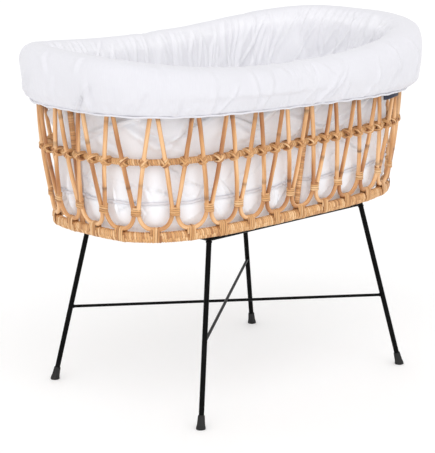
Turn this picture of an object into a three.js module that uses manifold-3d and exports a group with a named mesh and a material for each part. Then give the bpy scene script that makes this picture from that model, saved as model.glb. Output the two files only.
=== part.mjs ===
// A rattan moses basket on a black rod stand, with a padded cotton lining and a mattress.
// Millimetres, +Z up. The origin is on the floor under the middle of the stand.
// +X runs along the basket towards the head end, and -Y faces the front long side.
import * as THREE from 'three';
import { mergeVertices } from 'three/addons/utils/BufferGeometryUtils.js';
import Module from 'manifold-3d';

const wasm = await Module();
wasm.setup();

// ---- Driving dimensions ----
const GAP = 0.4; // air left between touching pieces

// Stand
const ROD_RADIUS = 5.5;
const STRETCHER_RADIUS = 3.2;
const RAIL_HALF_LENGTH = 226; // rail rectangle, centre lines
const RAIL_HALF_WIDTH = 185;
const RAIL_HEIGHT = 373;
const FOOT_HALF_LENGTH = 303.5; // where the leg axes meet the floor
const FOOT_HALF_WIDTH = 235;
const RAIL_OVERHANG = 10; // long rails run this far past the legs
const STRETCHER_HEIGHT = 166; // mean height of the two crossing stretchers
const CAP_HEIGHT = 28;
const CAP_TOP_RADIUS = 7.2;
const CAP_FOOT_RADIUS = 9.8;
const CAP_SOLE = 5; // rubber left under the rod's end
const ROD_SIDES = 12;

// Basket outline: a superellipse in plan, measured on the centre line of the base ring
const OUTLINE_HALF_LENGTH = 388;
const OUTLINE_HALF_WIDTH = 213;
const OUTLINE_POWER = 3.4;
const RING_STEPS = 64;

// Rings
const BASE_RING_HEIGHT = 22;
const BASE_RING_WIDTH = 16;
const BASE_RING_BOTTOM = 380;
const MID_RING_RADIUS = 7;
const MID_RING_HEIGHT = 545;
const RIM_RADIUS = 6;
const RIM_HEIGHT = 694; // over the middle of the basket
const RIM_TILT = 8; // how much higher the back of the rim is, and how much lower its front
const RIM_TILT_AT = 245;
const RIM_RISE = 38; // how much higher the rim is at RIM_RISE_AT from the middle
const RIM_RISE_AT = 430;
const RIM_HEAD_RISE = 5; // how much more it rises towards the head end, and less towards the foot end
const RIM_OUT = 32; // how far the rim stands outside the base ring

// Hairpin loops
const LOOP_COUNT = 29;
const LOOP_PHASE = -0.41; // in loops, from the middle of the front side
const CANE_RADIUS = 4.5;
const CANE_SIDES = 6;
const BINDING_HEIGHT = 446; // neighbouring loops are tied together here
const CLOSING_RISE = 10; // a loop's own legs run side by side from this far above the hem
const LOOP_FOOT_OUT = 3;
const LOOP_ROUNDNESS = 2.4;

// Posts, slats
const POST_RADIUS = 6;
const POSTS = [
  // where each stands at the base ring and at the rim, as fractions of the outline
  { name: 'front_post', base: 0.0057, rim: 0.0168 },
  { name: 'head_end_post', base: 0.2674, rim: 0.2674 },
  { name: 'back_post', base: 0.5, rim: 0.5 },
  { name: 'foot_end_post', base: 0.7326, rim: 0.7326 },
];
const SLAT_RADIUS = 5;
const SLAT_POSITIONS = [-280, -140, 0, 140, 280];

// Soft parts
const HEM_HEIGHT = 628;
const HEM_SLOPE = -0.036; // the hem drops towards the head end
const HEAD_PUFF = 12; // how much further the bumper stands out at the head end
const LINING_FLOOR = 390;
const LINING_TOP = 598;
const MATTRESS_BOTTOM = 395;
const MATTRESS_THICKNESS = 50;
const MATTRESS_INSET = -30;

const BASE_RING_TOP = BASE_RING_BOTTOM + BASE_RING_HEIGHT;
const LOOP_FOOT_HEIGHT = BASE_RING_TOP + GAP + CANE_RADIUS;
const LEG_END_HEIGHT = RIM_HEIGHT - RIM_RADIUS - GAP;
const CANE_SPACING = CANE_RADIUS + GAP; // half the distance between two canes side by side

const material = {
  rattan: new THREE.MeshStandardMaterial({ color: 0xd9a066, roughness: 0.55, metalness: 0 }),
  wrap: new THREE.MeshStandardMaterial({ color: 0xe0b078, roughness: 0.6, metalness: 0 }),
  steel: new THREE.MeshStandardMaterial({ color: 0x0c0c0d, roughness: 0.4, metalness: 0.6 }),
  rubber: new THREE.MeshStandardMaterial({ color: 0x111112, roughness: 0.85, metalness: 0 }),
  cotton: new THREE.MeshStandardMaterial({ color: 0xf1f1f4, roughness: 0.9, metalness: 0 }),
  lining: new THREE.MeshStandardMaterial({ color: 0xe9e8ea, roughness: 0.95, metalness: 0 }),
  label: new THREE.MeshStandardMaterial({ color: 0x1b2038, roughness: 0.8, metalness: 0 }),
};

const basket = new THREE.Group();

function addPart(name, geometry, partMaterial) {
  const mesh = new THREE.Mesh(geometry, partMaterial);
  mesh.name = name;
  basket.add(mesh);
  return mesh;
}

// ---- Solids ----
function solidFrom(geometry) {
  const bare = geometry.clone();
  bare.deleteAttribute('normal');
  bare.deleteAttribute('uv');
  const merged = mergeVertices(bare, 1e-4);
  const vertProperties = new Float32Array(merged.attributes.position.array);
  const triVerts = new Uint32Array(merged.index.array);
  return new wasm.Manifold(new wasm.Mesh({ numProp: 3, vertProperties, triVerts }));
}

function geometryFrom(solid) {
  const mesh = solid.getMesh();
  const geometry = new THREE.BufferGeometry();
  geometry.setAttribute('position', new THREE.BufferAttribute(new Float32Array(mesh.vertProperties), 3));
  geometry.setIndex(new THREE.BufferAttribute(new Uint32Array(mesh.triVerts), 1));
  geometry.computeVertexNormals();
  return geometry;
}

// Turns geometry made along Y so that it runs from start towards end.
function aimAlong(geometry, start, end) {
  const direction = end.clone().sub(start).normalize();
  const turn = new THREE.Quaternion().setFromUnitVectors(new THREE.Vector3(0, 1, 0), direction);
  geometry.applyQuaternion(turn);
  geometry.translate(start.x, start.y, start.z);
  return geometry;
}

function rodBetween(start, end, radius) {
  const length = start.distanceTo(end);
  const geometry = new THREE.CylinderGeometry(radius, radius, length, ROD_SIDES);
  geometry.translate(0, length / 2, 0);
  return aimAlong(geometry, start, end);
}

// ---- A path that is sampled exactly at its own knots ----
class KnotPath extends THREE.Curve {
  constructor(knots) {
    super();
    this.knots = knots;
  }

  getUtoTmapping(u) {
    return u;
  }

  getPoint(t, target = new THREE.Vector3()) {
    const spans = this.knots.length - 1;
    const at = THREE.MathUtils.clamp(t, 0, 1) * spans;
    const first = Math.min(Math.floor(at), spans - 1);
    return target.lerpVectors(this.knots[first], this.knots[first + 1], at - first);
  }

  getTangent(t, target = new THREE.Vector3()) {
    const spans = this.knots.length - 1;
    const here = Math.round(t * spans);
    const before = this.knots[Math.max(here - 1, 0)];
    const after = this.knots[Math.min(here + 1, spans)];
    const knot = this.knots[here];
    const arriving = knot.clone().sub(before).normalize();
    const leaving = after.clone().sub(knot).normalize();
    return target.copy(arriving).add(leaving).normalize();
  }
}

function tubeAlong(knots, radius, sides) {
  const corners = [];
  for (let side = 0; side < sides; side += 1) {
    const angle = (side / sides) * Math.PI * 2;
    corners.push(new THREE.Vector2(Math.cos(angle) * radius, Math.sin(angle) * radius));
  }
  const extrudePath = new KnotPath(knots);
  const options = { steps: knots.length - 1, bevelEnabled: false, extrudePath };
  return new THREE.ExtrudeGeometry(new THREE.Shape(corners), options);
}

// ---- The basket's outline ----
// A fraction of 0 is the middle of the front side, 0.25 the head end, 0.5 the back, 0.75 the foot end.
function outlineSamples(count) {
  const samples = [];
  for (let index = 0; index <= count; index += 1) {
    const angle = (index / count) * Math.PI * 2 - Math.PI / 2;
    const c = Math.cos(angle);
    const s = Math.sin(angle);
    const x = OUTLINE_HALF_LENGTH * Math.sign(c) * Math.abs(c) ** (2 / OUTLINE_POWER);
    const y = OUTLINE_HALF_WIDTH * Math.sign(s) * Math.abs(s) ** (2 / OUTLINE_POWER);
    samples.push(new THREE.Vector2(x, y));
  }
  return samples;
}

const outline = outlineSamples(7200);
const outlineLengths = [0];
for (let index = 1; index < outline.length; index += 1) {
  outlineLengths.push(outlineLengths[index - 1] + outline[index].distanceTo(outline[index - 1]));
}
const outlineLength = outlineLengths[outlineLengths.length - 1];

function outlinePoint(fraction) {
  const wanted = (((fraction % 1) + 1) % 1) * outlineLength;
  let low = 0;
  let high = outlineLengths.length - 1;
  while (high - low > 1) {
    const middle = (low + high) >> 1;
    if (outlineLengths[middle] <= wanted) low = middle;
    else high = middle;
  }
  const span = outlineLengths[high] - outlineLengths[low];
  return outline[low].clone().lerp(outline[high], (wanted - outlineLengths[low]) / span);
}

function outlineTangent(fraction) {
  const reach = 2 / outlineLength;
  return outlinePoint(fraction + reach).sub(outlinePoint(fraction - reach)).normalize();
}

// The point at a height, standing `out` outside the base ring's centre line.
function wallPoint(fraction, out, height) {
  const point = outlinePoint(fraction);
  const tangent = outlineTangent(fraction);
  return new THREE.Vector3(point.x + tangent.y * out, point.y - tangent.x * out, height);
}

function rimHeightAt({ x, y }) {
  const along = x / RIM_RISE_AT;
  const across = y / RIM_TILT_AT;
  return RIM_HEIGHT + RIM_RISE * along ** 2 + RIM_HEAD_RISE * along + RIM_TILT * across;
}

function hemHeightAt({ x }) {
  return HEM_HEIGHT + HEM_SLOPE * x;
}

// The canes' distance outside the base ring, easing to the rim's as they rise.
function legOut(height) {
  const rise = (height - LOOP_FOOT_HEIGHT) / (LEG_END_HEIGHT - LOOP_FOOT_HEIGHT);
  const ease = 1 - (1 - Math.min(rise, 1)) ** 2;
  return LOOP_FOOT_OUT + (RIM_OUT - LOOP_FOOT_OUT) * ease;
}

const MID_RING_OUT = legOut(MID_RING_HEIGHT) - MID_RING_RADIUS - CANE_RADIUS - GAP;

// ---- Rings and shells lofted round the outline ----
// Each level is a function from a fraction of the outline to a point. Without poles the last level
// joins the first. With poles the loft is closed by a fan on each pole.
function loftRound(levels, poles = null) {
  const positions = [];
  const index = [];
  for (const level of levels) {
    for (let step = 0; step < RING_STEPS; step += 1) {
      positions.push(...level(step / RING_STEPS).toArray());
    }
  }
  const vertex = (level, step) => level * RING_STEPS + (step % RING_STEPS);
  const bands = poles ? levels.length - 1 : levels.length;
  for (let level = 0; level < bands; level += 1) {
    const next = (level + 1) % levels.length;
    for (let step = 0; step < RING_STEPS; step += 1) {
      const [a, b] = [vertex(level, step), vertex(level, step + 1)];
      const [c, d] = [vertex(next, step + 1), vertex(next, step)];
      index.push(a, b, c, a, c, d);
    }
  }
  if (poles) {
    const first = positions.length / 3;
    positions.push(...poles[0].toArray(), ...poles[1].toArray());
    const last = levels.length - 1;
    for (let step = 0; step < RING_STEPS; step += 1) {
      index.push(first, vertex(0, step + 1), vertex(0, step));
      index.push(first + 1, vertex(last, step), vertex(last, step + 1));
    }
  }
  const geometry = new THREE.BufferGeometry();
  geometry.setAttribute('position', new THREE.Float32BufferAttribute(positions, 3));
  geometry.setIndex(index);
  geometry.computeVertexNormals();
  return geometry;
}

function levelAt(out, height) {
  return (fraction) => wallPoint(fraction, out, height);
}

// A ring of round section whose height may change along it.
function roundRing(out, heightAt, radius, sides) {
  const levels = [];
  for (let side = 0; side < sides; side += 1) {
    const angle = (side / sides) * Math.PI * 2 - Math.PI / 2;
    levels.push((fraction) => {
      const point = wallPoint(fraction, out + Math.cos(angle) * radius, 0);
      point.z = heightAt(point) + Math.sin(angle) * radius;
      return point;
    });
  }
  return loftRound(levels);
}

// ---- Stand ----
const CORNERS = [
  { name: 'front_foot_end', x: -1, y: -1 },
  { name: 'front_head_end', x: 1, y: -1 },
  { name: 'back_head_end', x: 1, y: 1 },
  { name: 'back_foot_end', x: -1, y: 1 },
];

// A point on a leg's axis at a height.
function legPoint(corner, height) {
  const drop = (RAIL_HEIGHT - height) / RAIL_HEIGHT;
  const x = RAIL_HALF_LENGTH + (FOOT_HALF_LENGTH - RAIL_HALF_LENGTH) * drop;
  const y = RAIL_HALF_WIDTH + (FOOT_HALF_WIDTH - RAIL_HALF_WIDTH) * drop;
  return new THREE.Vector3(corner.x * x, corner.y * y, height);
}

function longRail(side, radius) {
  const reach = RAIL_HALF_LENGTH + RAIL_OVERHANG;
  const start = new THREE.Vector3(-reach, side * RAIL_HALF_WIDTH, RAIL_HEIGHT);
  const end = new THREE.Vector3(reach, side * RAIL_HALF_WIDTH, RAIL_HEIGHT);
  return rodBetween(start, end, radius);
}

function crossRail(end, radius) {
  const reach = RAIL_HALF_WIDTH - ROD_RADIUS - GAP;
  const start = new THREE.Vector3(end * RAIL_HALF_LENGTH, -reach, RAIL_HEIGHT);
  const stop = new THREE.Vector3(end * RAIL_HALF_LENGTH, reach, RAIL_HEIGHT);
  return rodBetween(start, stop, radius);
}

function addRails() {
  addPart('front_rail', longRail(-1, ROD_RADIUS), material.steel);
  addPart('back_rail', longRail(1, ROD_RADIUS), material.steel);
  addPart('foot_end_rail', crossRail(-1, ROD_RADIUS), material.steel);
  addPart('head_end_rail', crossRail(1, ROD_RADIUS), material.steel);
}

// A leg, coped to fit under the rails that meet at its corner.
function legSolid(corner) {
  const rod = solidFrom(rodBetween(legPoint(corner, CAP_SOLE), legPoint(corner, RAIL_HEIGHT), ROD_RADIUS));
  const overLong = solidFrom(longRail(corner.y, ROD_RADIUS + GAP));
  const overCross = solidFrom(crossRail(corner.x, ROD_RADIUS + GAP));
  return rod.subtract(overLong).subtract(overCross);
}

// A flared cap along the leg's axis, flat on the floor, with a blind bore for the rod.
function capSolid(corner) {
  const below = legPoint(corner, -CAP_HEIGHT);
  const above = legPoint(corner, RAIL_HEIGHT);
  const floorAt = below.distanceTo(legPoint(corner, 0));
  const shoulder = floorAt + CAP_HEIGHT * 0.35;
  const top = floorAt + CAP_HEIGHT;
  const profile = [
    new THREE.Vector2(0, 0),
    new THREE.Vector2(CAP_FOOT_RADIUS, 0),
    new THREE.Vector2(CAP_FOOT_RADIUS, floorAt + 3),
    new THREE.Vector2(CAP_TOP_RADIUS + 1.2, shoulder),
    new THREE.Vector2(CAP_TOP_RADIUS, top - 2),
    new THREE.Vector2(CAP_TOP_RADIUS - 0.6, top),
    new THREE.Vector2(0, top),
  ];
  const body = solidFrom(aimAlong(new THREE.LatheGeometry(profile, ROD_SIDES), below, above));
  const bore = solidFrom(rodBetween(legPoint(corner, CAP_SOLE - 1), above, ROD_RADIUS + GAP));
  const floorDepth = CAP_HEIGHT * 2;
  const ground = new THREE.BoxGeometry(CAP_HEIGHT * 3, CAP_HEIGHT * 3, floorDepth);
  const foot = legPoint(corner, 0);
  ground.translate(foot.x, foot.y, -floorDepth / 2);
  return body.subtract(solidFrom(ground)).subtract(bore);
}

function addLegs() {
  for (const corner of CORNERS) {
    addPart(`${corner.name}_leg`, geometryFrom(legSolid(corner)), material.steel);
    addPart(`${corner.name}_foot_cap`, geometryFrom(capSolid(corner)), material.rubber);
  }
}

// The two stretchers cross over each other, one just above the other.
function addStretcher(name, first, second, height) {
  const start = legPoint(first, height);
  const end = legPoint(second, height);
  let solid = solidFrom(rodBetween(start, end, STRETCHER_RADIUS));
  for (const corner of [first, second]) {
    const leg = rodBetween(legPoint(corner, 0), legPoint(corner, RAIL_HEIGHT), ROD_RADIUS + GAP);
    solid = solid.subtract(solidFrom(leg));
  }
  addPart(name, geometryFrom(solid), material.steel);
}

function addStretchers() {
  const halfStep = STRETCHER_RADIUS + GAP / 2;
  addStretcher('lower_stretcher', CORNERS[3], CORNERS[1], STRETCHER_HEIGHT - halfStep);
  addStretcher('upper_stretcher', CORNERS[0], CORNERS[2], STRETCHER_HEIGHT + halfStep);
}

// ---- Rattan ----
function addRings() {
  const half = BASE_RING_WIDTH / 2;
  const soft = 4; // rounding of the wrapped bundle's edges
  const [bottom, top] = [BASE_RING_BOTTOM, BASE_RING_TOP];
  const section = [
    [soft - half, bottom],
    [half - soft, bottom],
    [half, bottom + soft],
    [half, top - soft],
    [half - soft, top],
    [soft - half, top],
    [-half, top - soft],
    [-half, bottom + soft],
  ];
  addPart('base_ring', loftRound(section.map(([out, height]) => levelAt(out, height))), material.wrap);
  const midRing = roundRing(MID_RING_OUT, () => MID_RING_HEIGHT, MID_RING_RADIUS, 8);
  addPart('mid_ring', midRing, material.wrap);
  addPart('top_rim', roundRing(RIM_OUT, rimHeightAt, RIM_RADIUS, 8), material.wrap);
}

function closingHeight(centre) {
  return hemHeightAt(wallPoint(centre, RIM_OUT, 0)) + CLOSING_RISE;
}

// One leg of a hairpin loop at a height. `spread` is 1 where the leg meets its neighbour's and 0
// where it meets its own loop's other leg.
function loopLegPoint(centre, side, height) {
  const climb = (height - BINDING_HEIGHT) / (closingHeight(centre) - BINDING_HEIGHT);
  const spread = 1 - THREE.MathUtils.clamp(climb, 0, 1);
  const fraction = centre + (side * spread) / (2 * LOOP_COUNT);
  const point = wallPoint(fraction, legOut(height), height);
  const tangent = outlineTangent(fraction);
  const shift = side * CANE_SPACING * (1 - 2 * spread);
  return point.add(new THREE.Vector3(tangent.x * shift, tangent.y * shift, 0));
}

// The round foot of a loop. `turn` runs from -1 at one binding to 1 at the other.
function loopFootPoint(centre, turn) {
  const angle = (Math.abs(turn) * Math.PI) / 2;
  const across = Math.sin(angle) ** (2 / LOOP_ROUNDNESS);
  const depth = Math.cos(angle) ** (2 / LOOP_ROUNDNESS);
  const side = Math.sign(turn);
  const height = BINDING_HEIGHT - (BINDING_HEIGHT - LOOP_FOOT_HEIGHT) * depth;
  const fraction = centre + (side * across) / (2 * LOOP_COUNT);
  const point = wallPoint(fraction, legOut(height), height);
  const tangent = outlineTangent(fraction);
  const shift = -side * across * CANE_SPACING;
  return point.add(new THREE.Vector3(tangent.x * shift, tangent.y * shift, 0));
}

function loopKnots(centre) {
  const topHeight = rimHeightAt(wallPoint(centre, RIM_OUT, 0)) - RIM_RADIUS - 5 * GAP;
  const legHeights = [494, MID_RING_HEIGHT, 590, closingHeight(centre), topHeight];
  const footTurns = 8;
  const knots = [];
  for (const height of legHeights.toReversed()) knots.push(loopLegPoint(centre, -1, height));
  for (let turn = 0; turn <= footTurns; turn += 1) {
    knots.push(loopFootPoint(centre, (2 * turn) / footTurns - 1));
  }
  for (const height of legHeights) knots.push(loopLegPoint(centre, 1, height));
  return knots;
}

function addLoops() {
  for (let loop = 0; loop < LOOP_COUNT; loop += 1) {
    const centre = (loop + LOOP_PHASE + 0.5) / LOOP_COUNT;
    const name = `loop_${String(loop + 1).padStart(2, '0')}`;
    addPart(name, tubeAlong(loopKnots(centre), CANE_RADIUS, CANE_SIDES), material.rattan);
  }
}

// Posts run up inside the three rings.
function addPosts() {
  for (const { name, base, rim } of POSTS) {
    const rimHeight = rimHeightAt(wallPoint(rim, RIM_OUT, 0));
    const inside = POST_RADIUS + GAP + 0.2;
    const baseOut = -BASE_RING_WIDTH / 2 - inside;
    const levels = [
      [baseOut - 1.4, BASE_RING_BOTTOM + 1],
      [baseOut, BASE_RING_TOP],
      [MID_RING_OUT - MID_RING_RADIUS - inside, MID_RING_HEIGHT],
      [RIM_OUT - RIM_RADIUS - inside, rimHeight],
      [RIM_OUT - RIM_RADIUS - inside + 0.4, rimHeight + 4],
    ];
    const knots = levels.map(([out, height]) => {
      const climb = (height - BASE_RING_TOP) / (rimHeight - BASE_RING_TOP);
      return wallPoint(base + (rim - base) * climb, out, height);
    });
    addPart(name, tubeAlong(knots, POST_RADIUS, 10), material.rattan);
  }
}

// Half the free width inside the base ring at x, for a slat.
function slatReach(x) {
  const edge = Math.abs(x) + SLAT_RADIUS;
  const inset = BASE_RING_WIDTH / 2 + GAP;
  let reach = OUTLINE_HALF_WIDTH;
  for (let fraction = 0; fraction < 0.25; fraction += 0.0005) {
    const point = wallPoint(fraction, -inset, 0);
    if (point.x <= edge) reach = Math.min(reach, -point.y);
  }
  return x === 0 ? reach - 2 * POST_RADIUS - 3 * GAP - 1 : reach - 1;
}

function addSlats() {
  const height = RAIL_HEIGHT + ROD_RADIUS + SLAT_RADIUS + GAP;
  SLAT_POSITIONS.forEach((x, slat) => {
    const reach = slatReach(x);
    const start = new THREE.Vector3(x, -reach, height);
    const end = new THREE.Vector3(x, reach, height);
    addPart(`base_slat_${slat + 1}`, rodBetween(start, end, SLAT_RADIUS), material.rattan);
  });
}

// ---- Soft parts ----
function addMattress() {
  const edge = 6;
  const bottom = MATTRESS_BOTTOM;
  const top = bottom + MATTRESS_THICKNESS;
  const levels = [
    levelAt(MATTRESS_INSET - edge, bottom),
    levelAt(MATTRESS_INSET, bottom + edge),
    levelAt(MATTRESS_INSET, top - edge),
    levelAt(MATTRESS_INSET - edge, top),
  ];
  const poles = [new THREE.Vector3(0, 0, bottom), new THREE.Vector3(0, 0, top)];
  addPart('mattress', loftRound(levels, poles), material.cotton);
}

// The lining is a cloth tub: a floor on the slats and a wall inside the posts.
function addLining() {
  const thickness = 6;
  const floor = LINING_FLOOR;
  const floorTop = MATTRESS_BOTTOM - GAP;
  const outer = [
    [-25, floor],
    [-21.6, 400],
    [-8.6, MID_RING_HEIGHT],
    [-3, LINING_TOP],
  ];
  const inner = [
    [-3 - thickness, LINING_TOP],
    [-8.6 - thickness, MID_RING_HEIGHT],
    [-21.6 - thickness, 404],
    [-25 - thickness, floorTop],
  ];
  const levels = [...outer, ...inner].map(([out, height]) => levelAt(out, height));
  const poles = [new THREE.Vector3(0, 0, floor), new THREE.Vector3(0, 0, floorTop)];
  addPart('lining', loftRound(levels, poles), material.lining);
}

// The bumper is a padded cuff folded over the rim. Heights are taken from the lining's top edge,
// from the hem or from the rim, which both change along the basket.
function addBumper() {
  const fromFloor = (height) => () => height;
  const fromHem = (rise) => (point) => hemHeightAt(point) + rise;
  const fromRim = (rise) => (point) => rimHeightAt(point) + rise;
  const bottom = LINING_TOP + GAP;
  const section = [
    [-13, fromFloor(bottom)],
    [-3, fromFloor(bottom)],
    [11, fromRim(-8)],
    [12, fromRim(RIM_RADIUS + 2)],
    [38, fromRim(RIM_RADIUS + 2)],
    [40, fromRim(0)],
    [40, fromHem(0)],
    [45, fromHem(0)],
    [57, fromHem(22)],
    [65, fromRim(-22)],
    [62, fromRim(8)],
    [48, fromRim(26)],
    [28, fromRim(31)],
    [8, fromRim(22)],
    [-6, fromRim(-4)],
    [-12, fromFloor(bottom + 30)],
  ];
  const levels = section.map(([out, heightAt]) => (fraction) => {
    const towardsHead = THREE.MathUtils.smoothstep(outlinePoint(fraction).x, 150, 380);
    const puff = out > 50 ? HEAD_PUFF * towardsHead : 0;
    const point = wallPoint(fraction, out + puff, 0);
    point.z = heightAt(point);
    return point;
  });
  addPart('bumper', loftRound(levels), material.cotton);
}

// A plain cloth tab that hangs from the hem near the head end.
function addLabelTab() {
  const [width, thickness, drop] = [60, 2, 14];
  const fraction = 0.127;
  const place = wallPoint(fraction, 37.4, 0);
  const tangent = outlineTangent(fraction);
  const tab = addPart('label_tab', new THREE.BoxGeometry(width, thickness, drop), material.label);
  tab.position.set(place.x, place.y, hemHeightAt(place) - drop / 2 + 4);
  tab.rotation.z = Math.atan2(tangent.y, tangent.x);
}

addRails();
addLegs();
addStretchers();
addRings();
addLoops();
addPosts();
addSlats();
addMattress();
addLining();
addBumper();
addLabelTab();

export default basket;
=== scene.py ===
"""Looks for a rattan moses basket on a black rod stand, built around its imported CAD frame.

Metres, +Z up. +X runs towards the head end and -Y faces the front long side. The basket's wall
follows one superellipse: a place on it is a fraction of the way round (0 is the middle of the front),
a distance outside the base ring's centre line and a height.
"""
import math

import bpy
import numpy as np
from mathutils import Matrix, Vector


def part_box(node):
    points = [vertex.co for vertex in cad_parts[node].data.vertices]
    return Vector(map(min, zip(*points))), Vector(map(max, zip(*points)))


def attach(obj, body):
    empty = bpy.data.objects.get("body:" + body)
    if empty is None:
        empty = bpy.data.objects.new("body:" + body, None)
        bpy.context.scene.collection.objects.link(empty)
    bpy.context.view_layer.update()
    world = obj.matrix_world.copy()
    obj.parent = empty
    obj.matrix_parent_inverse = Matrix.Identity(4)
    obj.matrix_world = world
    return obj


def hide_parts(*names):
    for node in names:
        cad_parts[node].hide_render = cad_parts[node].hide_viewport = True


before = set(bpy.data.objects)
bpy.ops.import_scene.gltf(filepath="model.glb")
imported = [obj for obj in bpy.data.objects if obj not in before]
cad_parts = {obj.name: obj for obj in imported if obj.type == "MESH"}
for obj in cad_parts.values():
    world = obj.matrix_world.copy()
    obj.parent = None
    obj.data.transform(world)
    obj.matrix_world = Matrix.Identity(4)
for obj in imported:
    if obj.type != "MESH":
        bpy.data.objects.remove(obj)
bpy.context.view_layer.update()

# ---- Sizes shared with the CAD model ----
MM = 0.001
GAP = 0.4 * MM  # air that the frame leaves between touching pieces
RING_LOW, RING_HIGH = (np.array(corner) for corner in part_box("base_ring"))
BASE_RING_WIDTH = 16 * MM
HALF_LENGTH = RING_HIGH[0] - BASE_RING_WIDTH / 2
HALF_WIDTH = RING_HIGH[1] - BASE_RING_WIDTH / 2
OUTLINE_POWER = 3.4
MID_LOW, MID_HIGH = (np.array(corner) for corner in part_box("mid_ring"))
MID_HEIGHT = (MID_LOW[2] + MID_HIGH[2]) / 2
MID_RADIUS = (MID_HIGH[2] - MID_LOW[2]) / 2
RIM_RADIUS = 6 * MM
RIM_OUT = 32 * MM
RIM_HEIGHT = 694 * MM
RIM_RISE, RIM_HEAD_RISE, RIM_RISE_AT = 38 * MM, 5 * MM, 430 * MM
RIM_TILT, RIM_TILT_AT = 8 * MM, 245 * MM
HEM_HEIGHT, HEM_SLOPE = 628 * MM, -0.036
HEAD_PUFF = 12 * MM
LOOP_COUNT, LOOP_PHASE = 29, -0.41
CANE_RADIUS = 4.5 * MM
CANE_SPACING = CANE_RADIUS + GAP
LOOP_FOOT_HEIGHT = RING_HIGH[2] + GAP + CANE_RADIUS
BINDING_HEIGHT = 446 * MM
CLOSING_RISE = 10 * MM
LEG_END_HEIGHT = RIM_HEIGHT - RIM_RADIUS - GAP
LOOP_FOOT_OUT = 3 * MM
LOOP_ROUNDNESS = 2.4
POST_RADIUS = 6 * MM
ROD_RADIUS = 5.5 * MM
STRETCHER_RADIUS = 3.2 * MM
POSTS = {  # the place round the outline at the base and at the rim, and the heights wrapped in cane
    "front_post": (0.0057, 0.0168, 402 * MM, 545 * MM),
    "head_end_post": (0.2674, 0.2674, 545 * MM, 760 * MM),
    "back_post": (0.5, 0.5, 402 * MM, 545 * MM),
    "foot_end_post": (0.7326, 0.7326, 545 * MM, 760 * MM),
}
RAIL_HALF_LENGTH, RAIL_HALF_WIDTH, RAIL_HEIGHT = 226 * MM, 185 * MM, 373 * MM
FOOT_HALF_LENGTH, FOOT_HALF_WIDTH = 303.5 * MM, 235 * MM
STRETCHER_HEIGHT = 166 * MM
CAP_SOLE = 5 * MM  # rubber left under a leg's end
POINT = 0.01 * MM  # radius of the end of a domed rod or a flat cap
SEAM_HEIGHT = 458 * MM
LINING_TOP = 598.4 * MM
UP = np.array([0.0, 0.0, 1.0])


def rounded(angle, squareness):
    """Cosine and sine of an angle on a superellipse: 2 is round, and more is squarer."""
    c, s = np.cos(angle), np.sin(angle)
    across = np.sign(c) * np.abs(c) ** (2 / squareness)
    up = np.sign(s) * np.abs(s) ** (2 / squareness)
    return across, up


# ---- The basket's outline ----
def outline_table():
    """Points of the base ring's centre line from the middle of the front, and the length up to each."""
    across, up = rounded(np.linspace(-math.pi / 2, 1.5 * math.pi, 7201), OUTLINE_POWER)
    x, y = HALF_LENGTH * across, HALF_WIDTH * up
    lengths = np.concatenate([[0], np.cumsum(np.hypot(np.diff(x), np.diff(y)))])
    return x, y, lengths


OUTLINE_X, OUTLINE_Y, OUTLINE_LENGTHS = outline_table()
PERIMETER = OUTLINE_LENGTHS[-1]


def outline(fraction):
    """Where the base ring's centre line is, in plan, a fraction of the way round."""
    along = np.mod(fraction, 1.0) * PERIMETER
    x = np.interp(along, OUTLINE_LENGTHS, OUTLINE_X)
    y = np.interp(along, OUTLINE_LENGTHS, OUTLINE_Y)
    return np.stack([x, y], -1)


def tangent(fraction):
    """The level direction along the wall."""
    reach = 2 * MM / PERIMETER
    step = outline(fraction + reach) - outline(fraction - reach)
    flat = step / np.linalg.norm(step, axis=-1, keepdims=True)
    return np.concatenate([flat, np.zeros(flat.shape[:-1] + (1,))], -1)


def outward(fraction):
    """The level direction out of the wall."""
    t = tangent(fraction)
    return np.stack([t[..., 1], -t[..., 0], np.zeros_like(t[..., 0])], -1)


def wall(fraction, out, height):
    """Points standing `out` outside the base ring's centre line, at a height."""
    fraction, out, height = np.broadcast_arrays(fraction, out, height)
    place = outline(fraction)
    point = np.concatenate([place, height[..., None]], -1)
    return point + outward(fraction) * out[..., None]


def rim_height(place):
    """The rim's centre line rises towards both ends and stands a little higher at the back."""
    along, across = place[..., 0] / RIM_RISE_AT, place[..., 1] / RIM_TILT_AT
    return RIM_HEIGHT + RIM_RISE * along**2 + RIM_HEAD_RISE * along + RIM_TILT * across


def hem_height(place):
    return HEM_HEIGHT + HEM_SLOPE * place[..., 0]


def closing_height(centre):
    """Where the two legs of a loop have come side by side."""
    return hem_height(wall(centre, RIM_OUT, 0.0)) + CLOSING_RISE


def leg_out(height):
    """How far a loop stands outside the base ring: it leans out quickly at first, then less."""
    rise = (height - LOOP_FOOT_HEIGHT) / (LEG_END_HEIGHT - LOOP_FOOT_HEIGHT)
    ease = 1 - (1 - np.minimum(rise, 1)) ** 2
    return LOOP_FOOT_OUT + (RIM_OUT - LOOP_FOOT_OUT) * ease


MID_OUT = leg_out(MID_HEIGHT) - MID_RADIUS - CANE_RADIUS - GAP


def smoothstep(value, low, high):
    t = np.clip((value - low) / (high - low), 0, 1)
    return t * t * (3 - 2 * t)


# ---- Meshes ----
def new_object(name, points, faces, material):
    """A mesh object in the scene, made of points and faces."""
    mesh = bpy.data.meshes.new(name)
    mesh.from_pydata([tuple(p) for p in points.tolist()], [], faces)
    mesh.validate()
    mesh.shade_smooth()
    piece = bpy.data.objects.new(name, mesh)
    bpy.context.scene.collection.objects.link(piece)
    mesh.materials.append(material)
    return piece


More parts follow.
